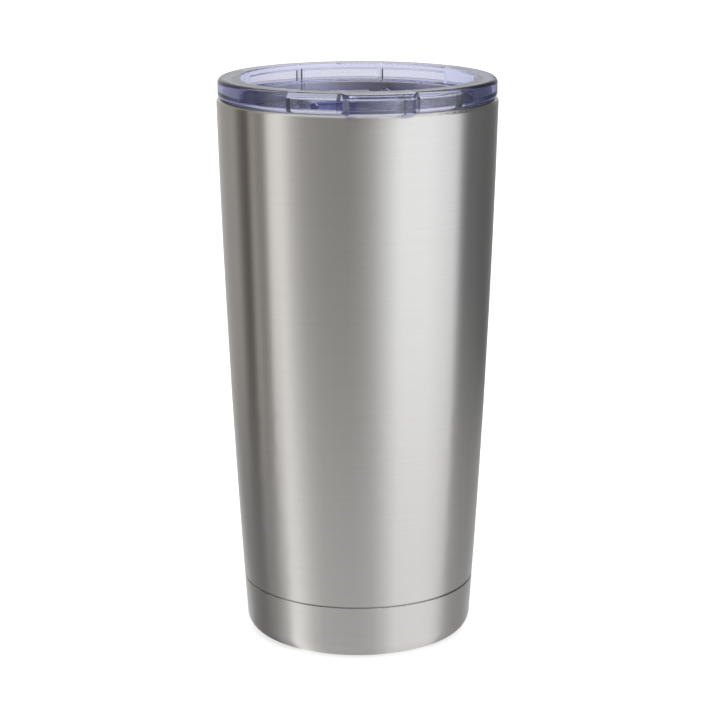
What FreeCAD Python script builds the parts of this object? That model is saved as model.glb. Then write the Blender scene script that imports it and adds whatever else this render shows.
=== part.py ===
import FreeCAD, Part
import math
import os

# Insulated tumbler with a clear press-in lid. Millimetres.
# The cup's axis is Z and its foot stands on Z = 0. The lid's thumb tab points
# to -Y, and the drink hole with its slide closure is on the +Y side.

# Driving sizes of the steel cup
TOTAL_HEIGHT = 175.0
LIP_TOP = 168.8
LIP_RADIUS = 43.0
SEAM_HEIGHT = 17.0
SEAM_RADIUS = 36.3
SIDE_BOW = 0.75
SHELL_SHEET = 0.6
LINER_SHEET = 0.5
BASE_SHEET = 0.6

# The lip and the seam
LIP_ROUND = 1.1
LIP_SHEET = 0.8
SEAM_GROOVE = 0.4
NECK_BOTTOM = 5.0

# The liner, measured on its inner face
LINER_FLOOR = 11.0
LINER_CORNER = 8.0
LINER_FOOT_RADIUS = 31.5
LINER_MOUTH_RADIUS = 40.4
LINER_BOW = 0.5
LINER_LIP_ROUND = 0.35

# The base cup
BASE_CORNER = 4.5
FOOT_INNER_RADIUS = 24.0
FOOT_SLOPE = 1.2
FOOT_RISE = 1.2

# The plate that closes the vacuum gap, its port and its getter
PLATE_TOP = 7.6
PLATE_ROUND = 0.9
DIMPLE_FLOOR_RADIUS = 4.0
DIMPLE_SLOPE = 1.8
DIMPLE_RISE = 1.6
PORT_RADIUS = 0.8
BEAD_RADIUS = 3.6
BEAD_DROP = 1.2
GETTER_OFFSET = 19.0
GETTER_RADIUS = 5.4
GETTER_THICKNESS = 1.3
TRAY_SHEET = 0.3
TRAY_HEIGHT = 1.8

# The lid moulding
FLANGE_RADIUS = 42.6
LID_CLEARANCE = 0.1
FLANGE_ROUND = 1.5
RECESS_RADIUS = 36.1
RECESS_FLOOR = 163.5
RECESS_TOP_ROUND = 0.6
RECESS_CORNER = 0.8
FLOOR_THICKNESS = 2.2
PLUG_RADIUS = 38.3
PLUG_BOTTOM = 157.0
PLUG_ROUND = 0.5
SKIRT_THICKNESS = 2.0
CHANNEL_TOP = 173.3
CHANNEL_ROUND = 0.5
VENT_RADIUS = 1.2
VENT_Y = -28.0

# Where the flange's channel is bridged: angle from -Y and half width, in degrees, both
# mirrored. Thin ribs stand beside the tab and the mouth, and the sides are solid.
TAB_RIB = (16.4, 0.8)
SOLID_SIDE = (81.4, 42.6)
MOUTH_RIB = (160.0, 0.8)
BRIDGE_RISE = 0.5

# Upright beads on the recess wall, in line with the ribs beside the mouth
BEAD_DEPTH = 0.5
BEAD_TOP = 173.8

# The thumb tab
TAB_REACH = 3.0
TAB_HALF_ANGLE = 12.0
TAB_ROOT_HALF_ANGLE = 15.5
TAB_ROUND = 0.8
TAB_WALL = 1.2
TAB_CORE_HALF_ANGLE = 9.5

# The gasket
GROOVE_BOTTOM = 159.5
GROOVE_TOP = 164.5
GROOVE_DEPTH = 0.8
GASKET_BAND_PROUD = 0.4
FIN_THICKNESS = 0.8
FIN_TIP_THICKNESS = 0.6
FIN_RISE = 0.6
FIN_HEIGHTS = (160.3, 162.6)
GASKET_CLEARANCE = 0.1

# The slide closure and its rails
SLIDER_HALF_WIDTH = 12.9
SLIDER_FRONT = 13.5
SLIDER_THICKNESS = 2.1
SLIDER_CORNER = 1.5
SLIDER_EDGE_ROUND = 0.4
SLIDER_GAP = 0.1
SLIDER_WALL_GAP = 1.0
TRAVEL = 14.0
RIDGE_HALF_LENGTH = 7.0
RIDGE_START = 15.2
RIDGE_DEPTH = 3.4
RIDGE_HEIGHT = 2.9
RIDGE_ROUND = 1.2
RAIL_GAP = 0.2
RAIL_THICKNESS = 1.5
RAIL_HEIGHT = 4.0
RAIL_ROUND = 0.4
RAIL_LIP_REACH = 0.9
RAIL_LIP_THICKNESS = 0.9
STOP_THICKNESS = 1.2
STOP_HEIGHT = 1.2
STOP_GAP = 0.3
HOLE_LENGTH = 18.0
HOLE_WIDTH = 9.0
HOLE_Y = 28.0
HOLE_ROUND = 0.5

# How far joined pieces run into each other, how far cutters run past a surface, and
# how far off its place an edge may lie when it is looked for
OVERLAP = 0.4
PAST = 1.0
NEAR = 0.1

FULL_TURN = 360.0
ORIGIN = FreeCAD.Vector(0, 0, 0)
UP = FreeCAD.Vector(0, 0, 1)


def at(radius, height):
    """A point of a half section: radius along X, height along Z."""
    return FreeCAD.Vector(radius, 0, height)


class BowedSide:
    """A cup's side whose half section is one shallow arc, bowed outward."""

    def __init__(self, low_radius, low_height, high_radius, high_height, bow):
        run = high_radius - low_radius
        rise = high_height - low_height
        chord = math.hypot(run, rise)
        self.arc_radius = (chord ** 2 / 4 + bow ** 2) / (2 * bow)
        back = self.arc_radius - bow
        self.centre_radius = (low_radius + high_radius) / 2 - back * rise / chord
        self.centre_height = (low_height + high_height) / 2 + back * run / chord

    def radius(self, height, inset=0.0):
        across = height - self.centre_height
        return self.centre_radius + math.sqrt((self.arc_radius - inset) ** 2 - across ** 2)

    def point(self, height, inset=0.0):
        return at(self.radius(height, inset), height)

    def arc_to(self, start, end, inset=0.0):
        """The arc from one height to another, as a (through, end) pair."""
        return self.point((start + end) / 2, inset), self.point(end, inset)

    def corner(self, level, rise, inset=0.0, towards_axis=True):
        """Rounding between the side and a level face: its side end, middle and face end.

        Its centre is higher than the face by rise, or lower if rise is negative.
        """
        size = abs(rise)
        shift = size if towards_axis else -size
        centre = self.point(level + rise, inset + shift)
        scale = (self.arc_radius - inset) / (self.arc_radius - inset - shift)
        side_height = self.centre_height + (centre.z - self.centre_height) * scale
        side_end = self.point(side_height, inset)
        face_end = at(centre.x, level)
        outward = side_end + face_end - centre * 2
        outward.normalize()
        return side_end, centre + outward * size, face_end


SIDE = BowedSide(SEAM_RADIUS, SEAM_HEIGHT, LIP_RADIUS, LIP_TOP, SIDE_BOW)
LINER_SIDE = BowedSide(
    LINER_FOOT_RADIUS, LINER_FLOOR + LINER_CORNER, LINER_MOUTH_RADIUS, LIP_TOP, LINER_BOW
)


def turned(*path):
    """Solid of revolution of a closed half section.

    Each entry of the path is an end point, or a (through, end) pair for an arc.
    """
    here = path[0]
    edges = []
    for entry in path[1:] + path[:1]:
        if isinstance(entry, tuple):
            through, there = entry
            edges.append(Part.Arc(here, through, there).toShape())
        else:
            there = entry
            edges.append(Part.LineSegment(here, there).toShape())
        here = there
    return Part.Face(Part.Wire(edges)).revolve(ORIGIN, UP, FULL_TURN)


def ring_edges(solid, *corners):
    """The full circles about Z that pass through the given section points."""
    picked = []
    for edge in solid.Edges:
        if not isinstance(edge.Curve, Part.Circle):
            continue
        for corner in corners:
            same_radius = abs(edge.Curve.Radius - corner.x) < 1e-4
            same_height = abs(edge.Curve.Center.z - corner.z) < 1e-4
            if same_radius and same_height:
                picked.append(edge)
    return picked


def edges_within(solid, low, high):
    """The edges that lie wholly inside the box from low to high."""
    box = FreeCAD.BoundBox(*low, *high)
    return [edge for edge in solid.Edges if box.isInside(edge.BoundBox)]


def block(x_low, x_high, y_low, y_high, z_low, z_high):
    corner = FreeCAD.Vector(x_low, y_low, z_low)
    return Part.makeBox(x_high - x_low, y_high - y_low, z_high - z_low, corner)


def cylinder(radius, low, high, x=0.0, y=0.0):
    return Part.makeCylinder(radius, high - low, FreeCAD.Vector(x, y, low))


def outer_shell():
    """Tapered wall with the rolled lip on top and a neck that the base cup hides."""
    shoulder = SEAM_HEIGHT + SEAM_GROOVE / 2
    inside_shoulder = shoulder + SHELL_SHEET
    under_lip = LIP_TOP - LIP_SHEET
    neck_inset = BASE_SHEET + SHELL_SHEET
    foot_side, foot_middle, foot_face = SIDE.corner(shoulder, SEAM_GROOVE / 2)
    lip_side, lip_middle, lip_face = SIDE.corner(LIP_TOP, -LIP_ROUND)
    return turned(
        SIDE.point(NECK_BOTTOM, BASE_SHEET),
        SIDE.arc_to(NECK_BOTTOM, shoulder, BASE_SHEET),
        foot_face,
        (foot_middle, foot_side),
        SIDE.arc_to(foot_side.z, lip_side.z),
        (lip_middle, lip_face),
        LINER_SIDE.point(LIP_TOP, -LINER_SHEET),
        LINER_SIDE.arc_to(LIP_TOP, under_lip, -LINER_SHEET),
        SIDE.point(under_lip, SHELL_SHEET),
        SIDE.arc_to(under_lip, inside_shoulder, SHELL_SHEET),
        SIDE.point(inside_shoulder, neck_inset),
        SIDE.arc_to(inside_shoulder, NECK_BOTTOM, neck_inset),
    )


def inner_liner():
    """The cup that holds the drink, welded to the shell along the lip."""
    floor_underside = LINER_FLOOR - LINER_SHEET
    outer_corner = LINER_CORNER + LINER_SHEET
    in_side, in_middle, in_face = LINER_SIDE.corner(LINER_FLOOR, LINER_CORNER)
    out_side, out_middle, out_face = LINER_SIDE.corner(floor_underside, outer_corner, -LINER_SHEET)
    lip_side, lip_middle, lip_face = LINER_SIDE.corner(LIP_TOP, -LINER_LIP_ROUND, 0.0, False)
    return turned(
        at(0, LINER_FLOOR),
        in_face,
        (in_middle, in_side),
        LINER_SIDE.arc_to(in_side.z, lip_side.z),
        (lip_middle, lip_face),
        LINER_SIDE.point(LIP_TOP, -LINER_SHEET),
        LINER_SIDE.arc_to(LIP_TOP, out_side.z, -LINER_SHEET),
        (out_middle, out_face),
        at(0, floor_underside),
    )


def outer_bottom():
    """Flanged plate in the shell's neck, with a raised dimple round the port."""
    rim_inset = BASE_SHEET + SHELL_SHEET
    plate_underside = PLATE_TOP - SHELL_SHEET
    dimple_rim = DIMPLE_FLOOR_RADIUS + DIMPLE_SLOPE
    rim_side, rim_middle, rim_face = SIDE.corner(PLATE_TOP, -PLATE_ROUND, rim_inset)
    return turned(
        SIDE.point(NECK_BOTTOM, rim_inset),
        SIDE.arc_to(NECK_BOTTOM, rim_side.z, rim_inset),
        (rim_middle, rim_face),
        at(dimple_rim, PLATE_TOP),
        at(DIMPLE_FLOOR_RADIUS, PLATE_TOP + DIMPLE_RISE),
        at(PORT_RADIUS, PLATE_TOP + DIMPLE_RISE),
        at(PORT_RADIUS, plate_underside + DIMPLE_RISE),
        at(DIMPLE_FLOOR_RADIUS, plate_underside + DIMPLE_RISE),
        at(dimple_rim, plate_underside),
        SIDE.point(plate_underside, rim_inset + SHELL_SHEET),
        SIDE.arc_to(plate_underside, NECK_BOTTOM, rim_inset + SHELL_SHEET),
    )


def seal_glass():
    """Glass bead that plugs the port and hangs in the dimple as a shallow drop."""
    ceiling = PLATE_TOP - SHELL_SHEET + DIMPLE_RISE
    ball = (BEAD_RADIUS ** 2 + BEAD_DROP ** 2) / (2 * BEAD_DROP)
    half_turn = math.asin(BEAD_RADIUS / ball) / 2
    lowest = ceiling - BEAD_DROP
    flank = at(ball * math.sin(half_turn), lowest + ball * (1 - math.cos(half_turn)))
    return turned(
        at(0, PLATE_TOP + DIMPLE_RISE),
        at(0, lowest),
        (flank, at(BEAD_RADIUS, ceiling)),
        at(PORT_RADIUS, ceiling),
        at(PORT_RADIUS, PLATE_TOP + DIMPLE_RISE),
    )


def getter_holder():
    """Shallow steel tray standing on the bottom plate, behind the port."""
    outside = GETTER_RADIUS + TRAY_SHEET
    tray = cylinder(outside, PLATE_TOP, PLATE_TOP + TRAY_HEIGHT, y=GETTER_OFFSET)
    tray = tray.cut(
        cylinder(GETTER_RADIUS, PLATE_TOP + TRAY_SHEET, PLATE_TOP + TRAY_HEIGHT, y=GETTER_OFFSET)
    )
    return tray


def getter_pill():
    """Sintered pill with worn edges, lying in its tray."""
    low = PLATE_TOP + TRAY_SHEET
    pill = cylinder(GETTER_RADIUS, low, low + GETTER_THICKNESS, y=GETTER_OFFSET)
    top = [edge for edge in pill.Edges if edge.BoundBox.ZMin > low + GETTER_THICKNESS / 2]
    return pill.makeFillet(TRAY_SHEET, top)


def base_cup():
    """Pressed cap that hides the neck, with a foot ring and a raised centre."""
    rim = SEAM_HEIGHT - SEAM_GROOVE / 2
    slope_top = FOOT_INNER_RADIUS - FOOT_SLOPE
    out_side, out_middle, out_face = SIDE.corner(0, BASE_CORNER)
    in_side, in_middle, in_face = SIDE.corner(BASE_SHEET, BASE_CORNER - BASE_SHEET, BASE_SHEET)
    rim_side, rim_middle, rim_face = SIDE.corner(rim, -SEAM_GROOVE / 2)
    return turned(
        at(0, FOOT_RISE),
        at(slope_top, FOOT_RISE),
        at(FOOT_INNER_RADIUS, 0),
        out_face,
        (out_middle, out_side),
        SIDE.arc_to(out_side.z, rim_side.z),
        (rim_middle, rim_face),
        SIDE.point(rim, BASE_SHEET),
        SIDE.arc_to(rim, in_side.z, BASE_SHEET),
        (in_middle, in_face),
        at(FOOT_INNER_RADIUS + BASE_SHEET / 2, BASE_SHEET),
        at(slope_top + BASE_SHEET / 2, FOOT_RISE + BASE_SHEET),
        at(0, FOOT_RISE + BASE_SHEET),
    )


def lid_ring():
    """Flange, recess, cored skirt and plug of the lid, before its details."""
    flange_bottom = LIP_TOP + LID_CLEARANCE
    skirt = FLANGE_RADIUS - SKIRT_THICKNESS
    groove = PLUG_RADIUS - GROOVE_DEPTH
    ring = turned(
        at(0, RECESS_FLOOR),
        at(RECESS_RADIUS, RECESS_FLOOR),
        at(RECESS_RADIUS, TOTAL_HEIGHT),
        at(FLANGE_RADIUS, TOTAL_HEIGHT),
        at(FLANGE_RADIUS, flange_bottom),
        at(skirt, flange_bottom),
        at(skirt, CHANNEL_TOP),
        at(PLUG_RADIUS, CHANNEL_TOP),
        at(PLUG_RADIUS, GROOVE_TOP),
        at(groove, GROOVE_TOP),
        at(groove, GROOVE_BOTTOM),
        at(PLUG_RADIUS, GROOVE_BOTTOM),
        at(PLUG_RADIUS, PLUG_BOTTOM),
        at(RECESS_RADIUS, PLUG_BOTTOM),
        at(RECESS_RADIUS, RECESS_FLOOR - FLOOR_THICKNESS),
        at(0, RECESS_FLOOR - FLOOR_THICKNESS),
    )
    roundings = (
        (FLANGE_ROUND, [at(FLANGE_RADIUS, TOTAL_HEIGHT), at(FLANGE_RADIUS, flange_bottom)]),
        (RECESS_TOP_ROUND, [at(RECESS_RADIUS, TOTAL_HEIGHT)]),
        (RECESS_CORNER, [at(RECESS_RADIUS, RECESS_FLOOR)]),
        (CHANNEL_ROUND, [at(skirt, CHANNEL_TOP), at(PLUG_RADIUS, CHANNEL_TOP)]),
        (PLUG_ROUND, [at(PLUG_RADIUS, PLUG_BOTTOM), at(RECESS_RADIUS, PLUG_BOTTOM)]),
    )
    for size, corners in roundings:
        ring = ring.makeFillet(size, ring_edges(ring, *corners))
    return ring


def around_front(radius, angle):
    """A point at the given radius, turned by degrees from the -Y direction."""
    turn = math.radians(angle)
    return FreeCAD.Vector(radius * math.sin(turn), -radius * math.cos(turn), 0)


def front_sector(inner, outer, inner_half_angle, outer_half_angle, low, high):
    """Block between two arcs about Z, centred on the -Y direction."""
    inner_start = around_front(inner, -inner_half_angle)
    inner_end = around_front(inner, inner_half_angle)
    outer_start = around_front(outer, -outer_half_angle)
    outer_end = around_front(outer, outer_half_angle)
    outline = Part.Wire([
        Part.Arc(inner_start, around_front(inner, 0), inner_end).toShape(),
        Part.LineSegment(inner_end, outer_end).toShape(),
        Part.Arc(outer_end, around_front(outer, 0), outer_start).toShape(),
        Part.LineSegment(outer_start, inner_start).toShape(),
    ])
    solid = Part.Face(outline).extrude(FreeCAD.Vector(0, 0, high - low))
    solid.translate(FreeCAD.Vector(0, 0, low))
    return solid


def mirrored_sectors(inner, outer, angle, half_angle, low, high):
    """Two blocks between arcs about Z, turned by an angle from -Y to each side."""
    sectors = []
    for side in (-1, 1):
        sector = front_sector(inner, outer, half_angle, half_angle, low, high)
        sector.rotate(ORIGIN, UP, side * angle)
        sectors.append(sector)
    return sectors


def channel_bridges():
    """Blocks that tie the flange's outer wall to the plug, clear of the cup's lip."""
    low = LIP_TOP + LID_CLEARANCE + BRIDGE_RISE
    high = CHANNEL_TOP + OVERLAP
    inner = PLUG_RADIUS - OVERLAP
    outer = FLANGE_RADIUS - SKIRT_THICKNESS + OVERLAP
    bridges = []
    for angle, half_angle in (TAB_RIB, SOLID_SIDE, MOUTH_RIB):
        bridges += mirrored_sectors(inner, outer, angle, half_angle, low, high)
    return bridges


def mouth_beads():
    """Low upright beads that stiffen the recess wall to each side of the mouth."""
    inner = RECESS_RADIUS - BEAD_DEPTH
    outer = RECESS_RADIUS + OVERLAP
    angle, half_angle = MOUTH_RIB
    return mirrored_sectors(inner, outer, angle, half_angle, RECESS_FLOOR - OVERLAP, BEAD_TOP)


def thumb_tab():
    """Solid tab with slanted ends and rounded outer edges."""
    low = LIP_TOP + LID_CLEARANCE
    reach = FLANGE_RADIUS + TAB_REACH
    root = FLANGE_RADIUS - SKIRT_THICKNESS / 2
    tab = front_sector(root, reach, TAB_ROOT_HALF_ANGLE, TAB_HALF_ANGLE, low, TOTAL_HEIGHT)
    outside = [
        edge for edge in tab.Edges
        if edge.BoundBox.YMax < -FLANGE_RADIUS * math.cos(math.radians(TAB_ROOT_HALF_ANGLE))
    ]
    return tab.makeFillet(TAB_ROUND, outside)


def thumb_tab_core():
    """Pocket that keeps the tab's walls thin, open below."""
    low = LIP_TOP + LID_CLEARANCE
    inner = FLANGE_RADIUS - TAB_WALL / 2
    outer = FLANGE_RADIUS + TAB_REACH - TAB_WALL
    angle = TAB_CORE_HALF_ANGLE
    return front_sector(inner, outer, angle, angle, low, CHANNEL_TOP)


def rails():
    """Two rails with inward lips, and the stop rib between their front ends."""
    inner_x = SLIDER_HALF_WIDTH + RAIL_GAP
    front = SLIDER_FRONT - TRAVEL - STOP_GAP - STOP_THICKNESS
    low = RECESS_FLOOR - OVERLAP
    top = RECESS_FLOOR + RAIL_HEIGHT
    lip_low = RECESS_FLOOR + 2 * SLIDER_GAP + SLIDER_THICKNESS
    lip_high = lip_low + RAIL_LIP_THICKNESS
    recess = cylinder(RECESS_RADIUS + OVERLAP, low, TOTAL_HEIGHT)
    pieces = []
    for side in (-1, 1):
        wall_x = sorted((side * inner_x, side * (inner_x + RAIL_THICKNESS)))
        lip_x = sorted((side * (inner_x - RAIL_LIP_REACH), side * (inner_x + RAIL_THICKNESS / 2)))
        wall = block(*wall_x, front, RECESS_RADIUS, low, top)
        long_top = [
            edge for edge in wall.Edges
            if edge.BoundBox.ZMin > low and edge.Length > RAIL_THICKNESS + PAST
        ]
        wall = wall.makeFillet(RAIL_ROUND, [edge for edge in long_top if edge.BoundBox.ZLength < PAST])
        lip = block(*lip_x, front, RECESS_RADIUS, lip_low, lip_high)
        pieces.append(wall.fuse(lip).common(recess))
    stop = block(
        -inner_x - RAIL_THICKNESS / 2, inner_x + RAIL_THICKNESS / 2,
        front, front + STOP_THICKNESS, low, RECESS_FLOOR + STOP_HEIGHT,
    )
    return pieces + [stop]


def drink_hole():
    """Cutter for the hole with round ends."""
    low = RECESS_FLOOR - FLOOR_THICKNESS - PAST
    high = RECESS_FLOOR + PAST
    end_radius = HOLE_WIDTH / 2
    end_x = HOLE_LENGTH / 2 - end_radius
    cutter = block(-end_x, end_x, HOLE_Y - end_radius, HOLE_Y + end_radius, low, high)
    for x in (-end_x, end_x):
        cutter = cutter.fuse(cylinder(end_radius, low, high, x=x, y=HOLE_Y))
    return cutter.removeSplitter()


def lid_body():
    """One clear moulding: flange, tab, recess, rails, drink hole and plug."""
    lid = lid_ring()
    for piece in [thumb_tab()] + channel_bridges() + mouth_beads() + rails():
        lid = lid.fuse(piece)
    lid = lid.removeSplitter()
    lid = lid.cut(thumb_tab_core())
    lid = lid.cut(drink_hole())
    hole_edges = edges_within(
        lid,
        (-HOLE_LENGTH / 2 - NEAR, HOLE_Y - HOLE_WIDTH / 2 - NEAR, RECESS_FLOOR - NEAR),
        (HOLE_LENGTH / 2 + NEAR, HOLE_Y + HOLE_WIDTH / 2 + NEAR, RECESS_FLOOR + NEAR),
    )
    lid = lid.makeFillet(HOLE_ROUND, hole_edges)
    vent_low = RECESS_FLOOR - FLOOR_THICKNESS - PAST
    vent = cylinder(VENT_RADIUS, vent_low, RECESS_FLOOR + PAST, y=VENT_Y)
    return lid.cut(vent)


def lid_gasket():
    """Silicone band in the plug's groove, with two fins that wipe the liner."""
    groove = PLUG_RADIUS - GROOVE_DEPTH
    band = PLUG_RADIUS + GASKET_BAND_PROUD
    path = [at(groove, GROOVE_TOP), at(groove, GROOVE_BOTTOM), at(band, GROOVE_BOTTOM)]
    for low in FIN_HEIGHTS:
        tip_low = low + FIN_RISE
        tip_high = tip_low + FIN_TIP_THICKNESS
        reach = LINER_SIDE.radius(tip_low) - GASKET_CLEARANCE
        path += [at(band, low), at(reach, tip_low), at(reach, tip_high), at(band, low + FIN_THICKNESS)]
    path.append(at(band, GROOVE_TOP))
    return turned(*path)


def slider():
    """Closing plate that runs between the rails, with a ridge for the thumb."""
    low = RECESS_FLOOR + SLIDER_GAP
    top = low + SLIDER_THICKNESS
    back = RECESS_RADIUS - SLIDER_WALL_GAP
    plate = block(-SLIDER_HALF_WIDTH, SLIDER_HALF_WIDTH, SLIDER_FRONT, RECESS_RADIUS, low, top)
    plate = plate.common(cylinder(back, low, top))
    uprights = [edge for edge in plate.Edges if edge.BoundBox.ZLength > SLIDER_THICKNESS / 2]
    front_corners = [edge for edge in uprights if edge.BoundBox.YMax < SLIDER_FRONT + NEAR]
    plate = plate.makeFillet(SLIDER_CORNER, front_corners)
    ridge = block(
        -RIDGE_HALF_LENGTH, RIDGE_HALF_LENGTH,
        RIDGE_START, RIDGE_START + RIDGE_DEPTH,
        low + SLIDER_THICKNESS / 2, top + RIDGE_HEIGHT,
    )
    upper = [edge for edge in ridge.Edges if edge.BoundBox.ZMax > top + RIDGE_HEIGHT / 2]
    plate = plate.fuse(ridge.makeFillet(RIDGE_ROUND, upper)).removeSplitter()
    rim = edges_within(
        plate,
        (-RECESS_RADIUS, SLIDER_FRONT - NEAR, top - NEAR),
        (RECESS_RADIUS, RECESS_RADIUS, top + NEAR),
    )
    outline = [
        edge for edge in rim
        if edge.BoundBox.YMin < RIDGE_START - NEAR or edge.BoundBox.YMax > RIDGE_START + RIDGE_DEPTH + NEAR
    ]
    return plate.makeFillet(SLIDER_EDGE_ROUND, outline)


NODES = (
    outer_shell,
    inner_liner,
    outer_bottom,
    seal_glass,
    getter_holder,
    getter_pill,
    base_cup,
    lid_body,
    lid_gasket,
    slider,
)

os.makedirs("parts", exist_ok=True)
for make in NODES:
    shape = make()
    shape.exportStep("parts/" + make.__name__ + ".step")
    size = shape.BoundBox
    print(make.__name__, shape.isValid(), len(shape.Solids), round(shape.Volume, 1),
          [round(value, 2) for value in (size.XMin, size.XMax, size.YMin, size.YMax, size.ZMin, size.ZMax)])
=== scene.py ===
import math

import bpy
from mathutils import Matrix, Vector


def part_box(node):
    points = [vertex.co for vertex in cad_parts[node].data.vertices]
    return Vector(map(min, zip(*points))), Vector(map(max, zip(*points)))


# An insulated steel tumbler with a clear lid, in a white studio. Metres.
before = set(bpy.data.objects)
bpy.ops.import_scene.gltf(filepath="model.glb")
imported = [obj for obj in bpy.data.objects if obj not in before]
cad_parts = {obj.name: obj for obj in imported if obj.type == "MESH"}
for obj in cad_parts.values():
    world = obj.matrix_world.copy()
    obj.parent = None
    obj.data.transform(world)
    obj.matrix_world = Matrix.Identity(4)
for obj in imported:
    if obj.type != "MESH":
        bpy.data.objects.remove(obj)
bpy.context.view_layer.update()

MM = 0.001

# Camera: a long lens, a little above the lid, to the left of the thumb tab
CAMERA_AZIMUTH = math.radians(-8.8)
CAMERA_DISTANCE = 0.6851
CAMERA_HEIGHT = 0.2566
CAMERA_PITCH = math.radians(13.888)
CAMERA_TURN = math.radians(0.039)
CAMERA_ROLL = math.radians(-0.12)
CAMERA_LENS = 113.7

# The studio stands round the cup with its open front at this bearing, where the camera is
STUDIO_TURN = CAMERA_AZIMUTH

# The studio's wall as seen from the cup: (degrees to the right of the front, brightness, warmth).
# Low values are black flags, values near 1 are softboxes, and 180 is straight behind the cup.
STUDIO_WALL = (
    (-180, 0.50, 0.00), (-166, 0.66, 0.00), (-156, 0.55, 0.02), (-147, 0.44, 0.03),
    (-137, 0.41, 0.03), (-121, 0.42, 0.06), (-114, 0.15, 0.10), (-103, 0.08, 0.12),
    (-97, 0.58, 0.08), (-90, 0.26, 0.09), (-83, 0.34, 0.06), (-78, 1.20, 0.02),
    (-66, 1.15, 0.01), (-56, 0.58, 0.02), (-46, 0.36, 0.03), (-30, 0.29, 0.03),
    (-8, 0.27, 0.03), (2, 0.36, 0.02), (12, 0.56, 0.00), (24, 0.98, -0.02),
    (36, 1.38, -0.03), (62, 1.38, -0.03), (76, 1.24, -0.03), (90, 1.16, -0.03),
    (97, 0.42, -0.03), (103, 0.21, -0.03), (134, 0.16, -0.02), (148, 0.17, 0.00),
    (158, 0.26, 0.00), (168, 0.42, 0.00), (180, 0.50, 0.00),
)

# The floor near the foot as the steel sees it, given the same way without warmth: painted light,
# with painted shade where the flags would shade it
FLOOR_CARD_PAINTED_LIGHT = (
    (-180, 0.80), (-164, 0.70), (-154, 0.45), (-145, 0.30), (-128, 0.23), (-104, 0.27),
    (-90, 0.48), (-80, 0.56), (-70, 1.25), (-60, 1.15), (-48, 0.82), (-36, 0.66),
    (0, 0.61), (14, 0.62), (26, 0.76), (38, 1.00), (62, 1.05), (80, 1.05),
    (91, 0.92), (100, 0.56), (118, 0.47), (132, 0.42), (150, 0.44), (160, 0.55),
    (180, 0.75),
)

# The ceiling and the white paper behind the cup. Each fades in over a range of a unit
# direction's height, or for the paper also of its part that points straight back.
CEILING_BRIGHTNESS = 1.15
CEILING_FADE = (0.5, 0.85)
PAPER_BRIGHTNESS = 0.8
PAPER_HEIGHT_FADE = (0.04, 0.18)
PAPER_SIDE_FADE = (0.90, 0.99)

# The floor that the camera sees: pale paper that also glows, so that it comes out white
FLOOR_RADIUS = 12.0
FLOOR_COLOUR = 0.5
FLOOR_ROUGHNESS = 0.9
FLOOR_GLOW = 0.66

# The floor's stand-ins for the steel and for the lid, just under it. The sheet is a sector
# behind the cup that starts at SHEET_START from the cup's axis.
CARD_RADIUS = 0.26
CARD_HEIGHT = -0.0002
SHEET_START = 0.12
SHEET_HALF_ANGLE = math.radians(20)
SHEET_STEPS = 8
SHEET_HEIGHT = -0.0004
SHEET_BRIGHTNESS = 1.0
FOOT_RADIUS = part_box("base_cup")[1][0]

SUN_STRENGTH = 1.0
SUN_ANGLE = math.radians(70)

# Brushed steel: noise stretched round the cup. Each scale is the noise's across the cup. Bands of
# finer and coarser brushing have a width up the cup, and the lines a depth, both in millimetres.
# Reflections are stretched a quarter turn away from the tangent round the cup.
LINE_SCALE_ACROSS = 60.0
BAND_SCALE_ACROSS = 18.0
BAND_WIDTH = 1.6
BAND_GLOSS_CHANGE = 0.012
LINE_CONTRAST = (0.25, 0.75)
LINE_WEAR = 0.03
LINE_DEPTH = 0.02
LINE_RELIEF_STRENGTH = 0.25
STRETCH_TURN = 0.25

# Clear mouldings: waves about 6 mm across, how far they roughen the gloss, and their depth in
# millimetres
WAVE_SCALE = 160.0
WAVE_GLOSS_CHANGE = 0.03
WAVE_DEPTH = 0.02
CLEAR_PLASTIC_IOR = 1.54
SILICONE_IOR = 1.41

# Pressed, sintered and fused pieces: how far their grain changes shade and gloss
GRAIN_CHANGE = 0.2

# Relief strength of the waves and of the grain
RELIEF_STRENGTH = 0.3

# Light passes through several clear walls, and bounces many times inside the cup
CLEAR_WALL_BOUNCES = 24
STEEL_BOUNCES = 16


def node(tree, kind, inputs=None, **settings):
    """Adds a shader node; inputs may be values or the output sockets of other nodes."""
    made = tree.nodes.new("ShaderNode" + kind)
    for name, value in settings.items():
        setattr(made, name, value)
    for name, value in (inputs or {}).items():
        if isinstance(value, bpy.types.NodeSocket):
            tree.links.new(value, made.inputs[name])
        else:
            made.inputs[name].default_value = value
    return made


def arithmetic(tree, operation, first, second):
    return node(tree, "Math", {0: first, 1: second}, operation=operation).outputs[0]


def smooth_step(tree, value, low, high, start=0.0, end=1.0):
    """A value's rise from start to end between low and high, eased at both ends."""
    step = node(
        tree, "MapRange",
        {"Value": value, "From Min": low, "From Max": high, "To Min": start, "To Max": end},
        interpolation_type="SMOOTHSTEP",
    )
    return step.outputs[0]


def grey(level):
    return (level, level, level, 1)


def add_camera():
    camera = bpy.data.objects.new("camera", bpy.data.cameras.new("camera"))
    bpy.context.scene.collection.objects.link(camera)
    camera.data.lens = CAMERA_LENS
    camera.data.clip_start = 0.01
    camera.location = (
        CAMERA_DISTANCE * math.sin(CAMERA_AZIMUTH),
        -CAMERA_DISTANCE * math.cos(CAMERA_AZIMUTH),
        CAMERA_HEIGHT,
    )
    aim = (
        Matrix.Rotation(CAMERA_AZIMUTH + CAMERA_TURN, 3, "Z")
        @ Matrix.Rotation(math.pi / 2 - CAMERA_PITCH, 3, "X")
        @ Matrix.Rotation(CAMERA_ROLL, 3, "Z")
    )
    camera.rotation_euler = aim.to_euler()
    bpy.context.scene.camera = camera


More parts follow.
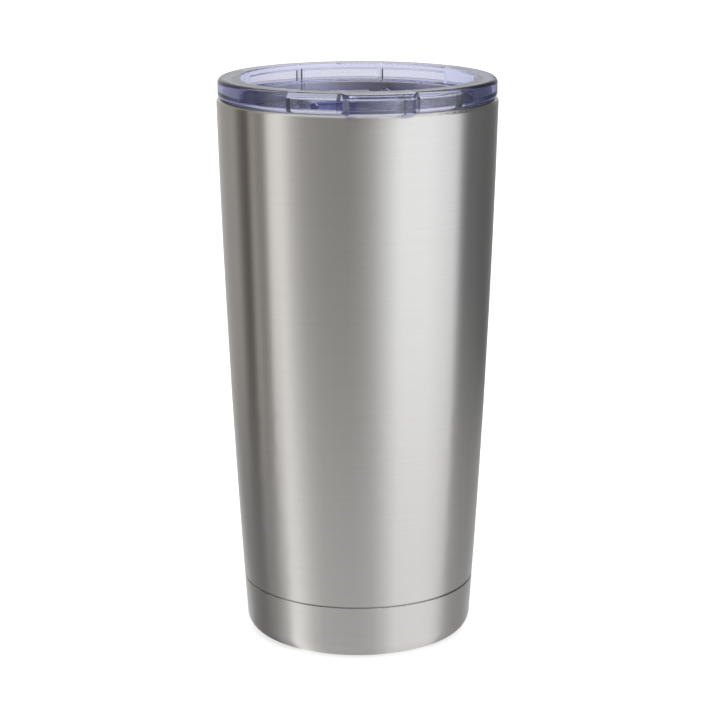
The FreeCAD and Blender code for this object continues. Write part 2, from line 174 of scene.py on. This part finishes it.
def in_studio(tree, direction):
    """Turns a direction from the part's axes to the studio's, where -Y is its open front."""
    turned = node(
        tree, "VectorRotate", {"Vector": direction, "Angle": -STUDIO_TURN}, rotation_type="Z_AXIS"
    )
    return turned.outputs[0]


def studio_azimuth(tree, direction):
    """The angle in radians about Z of a direction, from the studio's front to its right."""
    axes = node(tree, "SeparateXYZ", {0: in_studio(tree, direction)})
    forward = arithmetic(tree, "MULTIPLY", axes.outputs["Y"], -1.0)
    return arithmetic(tree, "ARCTAN2", axes.outputs["X"], forward)


def panorama(tree, azimuth, stations):
    """Colours set out by azimuth as (degrees to the right of the front, brightness, warmth).

    A station may leave out its warmth."""
    place = node(tree, "MapRange", {"Value": azimuth, "From Min": -math.pi, "From Max": math.pi})
    ramp = node(tree, "ValToRGB", {"Fac": place.outputs[0]})
    stops = ramp.color_ramp.elements
    while len(stops) > 1:
        stops.remove(stops[-1])
    for index, (degrees, brightness, *rest) in enumerate(stations):
        warmth = rest[0] if rest else 0
        position = (degrees + 180) / 360
        stop = stops[0] if index == 0 else stops.new(position)
        stop.position = position
        stop.color = (brightness * (1 + warmth), brightness, brightness * (1 - warmth), 1)
    return ramp.outputs["Color"]


def add_world():
    """The studio that the steel reflects: softboxes and flags round it, a bright ceiling above."""
    world = bpy.data.worlds.new("studio")
    bpy.context.scene.world = world
    world.use_nodes = True
    tree = world.node_tree
    tree.nodes.clear()
    direction = node(tree, "TexCoord").outputs["Generated"]
    axes = node(tree, "SeparateXYZ", {0: in_studio(tree, direction)})
    wall = panorama(tree, studio_azimuth(tree, direction), STUDIO_WALL)
    above = smooth_step(tree, axes.outputs["Z"], *PAPER_HEIGHT_FADE)
    behind = smooth_step(tree, axes.outputs["Y"], *PAPER_SIDE_FADE)
    paper = grey(PAPER_BRIGHTNESS)
    backed = node(
        tree, "Mix",
        {0: arithmetic(tree, "MULTIPLY", above, behind), 6: wall, 7: paper},
        data_type="RGBA",
    )
    high = smooth_step(tree, axes.outputs["Z"], *CEILING_FADE)
    colour = node(
        tree, "Mix", {0: high, 6: backed.outputs[2], 7: grey(CEILING_BRIGHTNESS)}, data_type="RGBA"
    )
    background = node(tree, "Background", {"Color": colour.outputs[2]})
    node(tree, "OutputWorld", {"Surface": background.outputs[0]})


def glowing_card():
    """The floor's light as it reaches the steel: painted light, with painted shade where flags
    would shade it.
    """
    material = bpy.data.materials.new("floor_card")
    material.use_nodes = True
    tree = material.node_tree
    tree.nodes.clear()
    place = node(tree, "TexCoord").outputs["Object"]
    # A point close to the foot is seen in steel that faces it less squarely than a far one,
    # so its azimuth is widened to the one that the steel mirrors there.
    distance = node(tree, "VectorMath", {0: place}, operation="LENGTH").outputs["Value"]
    nearness = arithmetic(tree, "DIVIDE", FOOT_RADIUS, distance)
    widening = arithmetic(tree, "DIVIDE", 2.0, arithmetic(tree, "SUBTRACT", 2.0, nearness))
    azimuth = arithmetic(tree, "MULTIPLY", studio_azimuth(tree, place), widening)
    # Painted light and painted shade of the floor, seen only in the steel's reflections
    light = node(tree, "Emission", {"Color": panorama(tree, azimuth, FLOOR_CARD_PAINTED_LIGHT)})
    node(tree, "OutputMaterial", {"Surface": light.outputs[0]})
    return material


def disc(name, radius, height, material, segments=128):
    """Flat round sheet of the stage, centred on the cup's axis."""
    rim = [2 * math.pi * step / segments for step in range(segments)]
    corners = [(radius * math.cos(turn), radius * math.sin(turn), height) for turn in rim]
    mesh = bpy.data.meshes.new(name)
    mesh.from_pydata(corners, [], [tuple(range(segments))])
    mesh.materials.append(material)
    sheet = bpy.data.objects.new(name, mesh)
    bpy.context.scene.collection.objects.link(sheet)
    return sheet


def paper_sheet():
    """White sheet on the floor behind the cup, seen only through the clear pieces."""
    material = bpy.data.materials.new("paper_sheet")
    material.use_nodes = True
    tree = material.node_tree
    tree.nodes.clear()
    light = node(tree, "Emission", {"Color": grey(SHEET_BRIGHTNESS)})
    node(tree, "OutputMaterial", {"Surface": light.outputs[0]})
    straight_back = math.pi / 2 + STUDIO_TURN
    steps = range(-SHEET_STEPS, SHEET_STEPS + 1)
    spread = [straight_back + SHEET_HALF_ANGLE * step / SHEET_STEPS for step in steps]
    near = [(SHEET_START * math.cos(turn), SHEET_START * math.sin(turn), 0) for turn in spread]
    far = [(FLOOR_RADIUS * math.cos(turn), FLOOR_RADIUS * math.sin(turn), 0) for turn in spread]
    mesh = bpy.data.meshes.new("paper_sheet")
    mesh.from_pydata(near + far[::-1], [], [tuple(range(len(near) + len(far)))])
    mesh.materials.append(material)
    sheet = bpy.data.objects.new("paper_sheet", mesh)
    sheet.location.z = SHEET_HEIGHT
    bpy.context.scene.collection.objects.link(sheet)
    sheet.visible_camera = False
    sheet.visible_diffuse = False
    sheet.visible_glossy = False
    sheet.visible_shadow = False


def add_floor():
    """The floor as the camera sees it, and the card that the steel sees in its place."""
    paper = bpy.data.materials.new("floor_paper")
    paper.use_nodes = True
    shader = paper.node_tree.nodes["Principled BSDF"]
    shader.inputs["Base Color"].default_value = grey(FLOOR_COLOUR)
    shader.inputs["Roughness"].default_value = FLOOR_ROUGHNESS
    shader.inputs["Specular IOR Level"].default_value = 0.0
    shader.inputs["Emission Color"].default_value = grey(1.0)
    shader.inputs["Emission Strength"].default_value = FLOOR_GLOW
    floor = disc("floor", FLOOR_RADIUS, 0.0, paper)
    floor.visible_glossy = False
    floor.visible_transmission = False
    card = disc("floor_card", CARD_RADIUS, CARD_HEIGHT, glowing_card())
    card.visible_camera = False
    card.visible_diffuse = False
    card.visible_transmission = False
    card.visible_shadow = False


def add_sun():
    """Wide soft light from above for the floor; the steel and the lid see the studio instead."""
    light = bpy.data.lights.new("overhead", "SUN")
    light.energy = SUN_STRENGTH
    light.angle = SUN_ANGLE
    lamp = bpy.data.objects.new("overhead", light)
    bpy.context.scene.collection.objects.link(lamp)
    lamp.visible_glossy = False
    lamp.visible_transmission = False


def brushed_steel(name, colour, roughness, anisotropic, line_width):
    """Steel brushed round the Z axis: fine level lines that stretch reflections up and down.

    line_width is the lines' width in millimetres."""
    material = bpy.data.materials.new(name)
    material.use_nodes = True
    tree = material.node_tree
    shader = tree.nodes["Principled BSDF"]
    position = node(tree, "TexCoord").outputs["Object"]
    line_scale = (LINE_SCALE_ACROSS, LINE_SCALE_ACROSS, 1 / (line_width * MM))
    stretched = node(tree, "Mapping", {"Vector": position, "Scale": line_scale})
    lines = node(
        tree, "TexNoise",
        {"Vector": stretched.outputs[0], "Scale": 1.0, "Detail": 3.0, "Roughness": 0.6},
    ).outputs["Fac"]
    band_scale = (BAND_SCALE_ACROSS, BAND_SCALE_ACROSS, 1 / (BAND_WIDTH * MM))
    wide = node(tree, "Mapping", {"Vector": position, "Scale": band_scale})
    bands = node(
        tree, "TexNoise",
        {"Vector": wide.outputs[0], "Scale": 1.0, "Detail": 4.0, "Roughness": 0.6},
    ).outputs["Fac"]
    shade = node(
        tree, "MapRange",
        {"Value": lines, "From Min": LINE_CONTRAST[0], "From Max": LINE_CONTRAST[1],
         "To Min": 1 - LINE_WEAR, "To Max": 1 + LINE_WEAR},
    ).outputs[0]
    tint = node(tree, "VectorMath", {0: (*colour,), "Scale": shade}, operation="SCALE").outputs[0]
    gloss = node(
        tree, "MapRange",
        {"Value": bands,
         "To Min": roughness - BAND_GLOSS_CHANGE, "To Max": roughness + BAND_GLOSS_CHANGE},
    ).outputs[0]
    bump = node(
        tree, "Bump",
        {"Height": lines, "Strength": LINE_RELIEF_STRENGTH, "Distance": LINE_DEPTH * MM},
    )
    tangent = node(tree, "Tangent", direction_type="RADIAL", axis="Z")
    shader.distribution = "GGX"
    tree.links.new(tint, shader.inputs["Base Color"])
    tree.links.new(gloss, shader.inputs["Roughness"])
    tree.links.new(bump.outputs[0], shader.inputs["Normal"])
    tree.links.new(tangent.outputs[0], shader.inputs["Tangent"])
    shader.inputs["Metallic"].default_value = 1.0
    shader.inputs["Anisotropic"].default_value = anisotropic
    shader.inputs["Anisotropic Rotation"].default_value = STRETCH_TURN
    return material


def clear_plastic(name, tint, density, roughness, ior):
    """Clear moulding whose tint deepens where light runs a long way through it.

    The mould leaves a faint waviness, and handling leaves the gloss slightly uneven."""
    material = bpy.data.materials.new(name)
    material.use_nodes = True
    tree = material.node_tree
    shader = tree.nodes["Principled BSDF"]
    position = node(tree, "TexCoord").outputs["Object"]
    waves = node(
        tree, "TexNoise", {"Vector": position, "Scale": WAVE_SCALE, "Detail": 2.0, "Roughness": 0.5}
    ).outputs["Fac"]
    gloss = node(
        tree, "MapRange",
        {"Value": waves, "To Min": roughness, "To Max": roughness + WAVE_GLOSS_CHANGE},
    ).outputs[0]
    bump = node(
        tree, "Bump", {"Height": waves, "Strength": RELIEF_STRENGTH, "Distance": WAVE_DEPTH * MM}
    )
    tree.links.new(gloss, shader.inputs["Roughness"])
    tree.links.new(bump.outputs[0], shader.inputs["Normal"])
    shader.inputs["Base Color"].default_value = (1, 1, 1, 1)
    shader.inputs["Transmission Weight"].default_value = 1.0
    shader.inputs["IOR"].default_value = ior
    volume = node(tree, "VolumeAbsorption", {"Color": (*tint, 1), "Density": density})
    tree.links.new(volume.outputs[0], tree.nodes["Material Output"].inputs["Volume"])
    return material


def plain_solid(name, colour, roughness, metallic, grain_size, relief):
    """Pressed, sintered or fused material with a fine grain in its shade, gloss and surface.

    grain_size and relief are in millimetres."""
    material = bpy.data.materials.new(name)
    material.use_nodes = True
    tree = material.node_tree
    shader = tree.nodes["Principled BSDF"]
    position = node(tree, "TexCoord").outputs["Object"]
    grain = node(
        tree, "TexNoise",
        {"Vector": position, "Scale": 1 / (grain_size * MM), "Detail": 3.0, "Roughness": 0.6},
    ).outputs["Fac"]
    less, more = 1 - GRAIN_CHANGE, 1 + GRAIN_CHANGE
    shade = node(tree, "MapRange", {"Value": grain, "To Min": less, "To Max": more}).outputs[0]
    tint = node(tree, "VectorMath", {0: (*colour,), "Scale": shade}, operation="SCALE").outputs[0]
    gloss = node(
        tree, "MapRange",
        {"Value": grain, "To Min": less * roughness, "To Max": more * roughness},
    ).outputs[0]
    bump = node(
        tree, "Bump", {"Height": grain, "Strength": RELIEF_STRENGTH, "Distance": relief * MM}
    )
    tree.links.new(tint, shader.inputs["Base Color"])
    tree.links.new(gloss, shader.inputs["Roughness"])
    tree.links.new(bump.outputs[0], shader.inputs["Normal"])
    shader.inputs["Metallic"].default_value = metallic
    return material


def dress(name, material):
    """Gives a CAD node its material."""
    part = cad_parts[name]
    for place in part.material_slots:
        place.material = material


bpy.context.scene.view_settings.view_transform = "Standard"
bpy.context.scene.cycles.max_bounces = CLEAR_WALL_BOUNCES
bpy.context.scene.cycles.transmission_bounces = CLEAR_WALL_BOUNCES
bpy.context.scene.cycles.glossy_bounces = STEEL_BOUNCES

add_camera()
add_world()
add_floor()
paper_sheet()
add_sun()

STEEL = (0.62, 0.605, 0.585)
LINER_STEEL = (0.76, 0.75, 0.735)
PLATE_STEEL = (0.52, 0.51, 0.50)
GETTER_METAL = (0.10, 0.095, 0.09)
SOLDER_GLASS = (0.03, 0.027, 0.024)
CLEAR_TINT = (0.28, 0.33, 0.78)
SILICONE_TINT = (0.5, 0.5, 0.5)

shell_steel = brushed_steel(
    "shell_steel", STEEL, roughness=0.288, anisotropic=1.0, line_width=0.4
)
base_steel = brushed_steel(
    "base_steel", STEEL, roughness=0.29, anisotropic=1.0, line_width=0.4
)
liner_steel = brushed_steel(
    "liner_steel", LINER_STEEL, roughness=0.34, anisotropic=0.4, line_width=0.5
)
clear = clear_plastic(
    "clear_lid", CLEAR_TINT, density=80.0, roughness=0.0, ior=CLEAR_PLASTIC_IOR
)
silicone = clear_plastic(
    "silicone", SILICONE_TINT, density=120.0, roughness=0.3, ior=SILICONE_IOR
)
plate_steel = plain_solid(
    "plate_steel", PLATE_STEEL, roughness=0.35, metallic=1.0, grain_size=1.5, relief=0.02
)
getter_metal = plain_solid(
    "getter_metal", GETTER_METAL, roughness=0.7, metallic=0.6, grain_size=0.3, relief=0.05
)
solder_glass = plain_solid(
    "solder_glass", SOLDER_GLASS, roughness=0.12, metallic=0.0, grain_size=1.0, relief=0.02
)

dress("outer_shell", shell_steel)
dress("base_cup", base_steel)
dress("inner_liner", liner_steel)
dress("lid_body", clear)
dress("slider", clear)
dress("lid_gasket", silicone)
dress("outer_bottom", plate_steel)
dress("getter_holder", plate_steel)
dress("getter_pill", getter_metal)
dress("seal_glass", solder_glass)
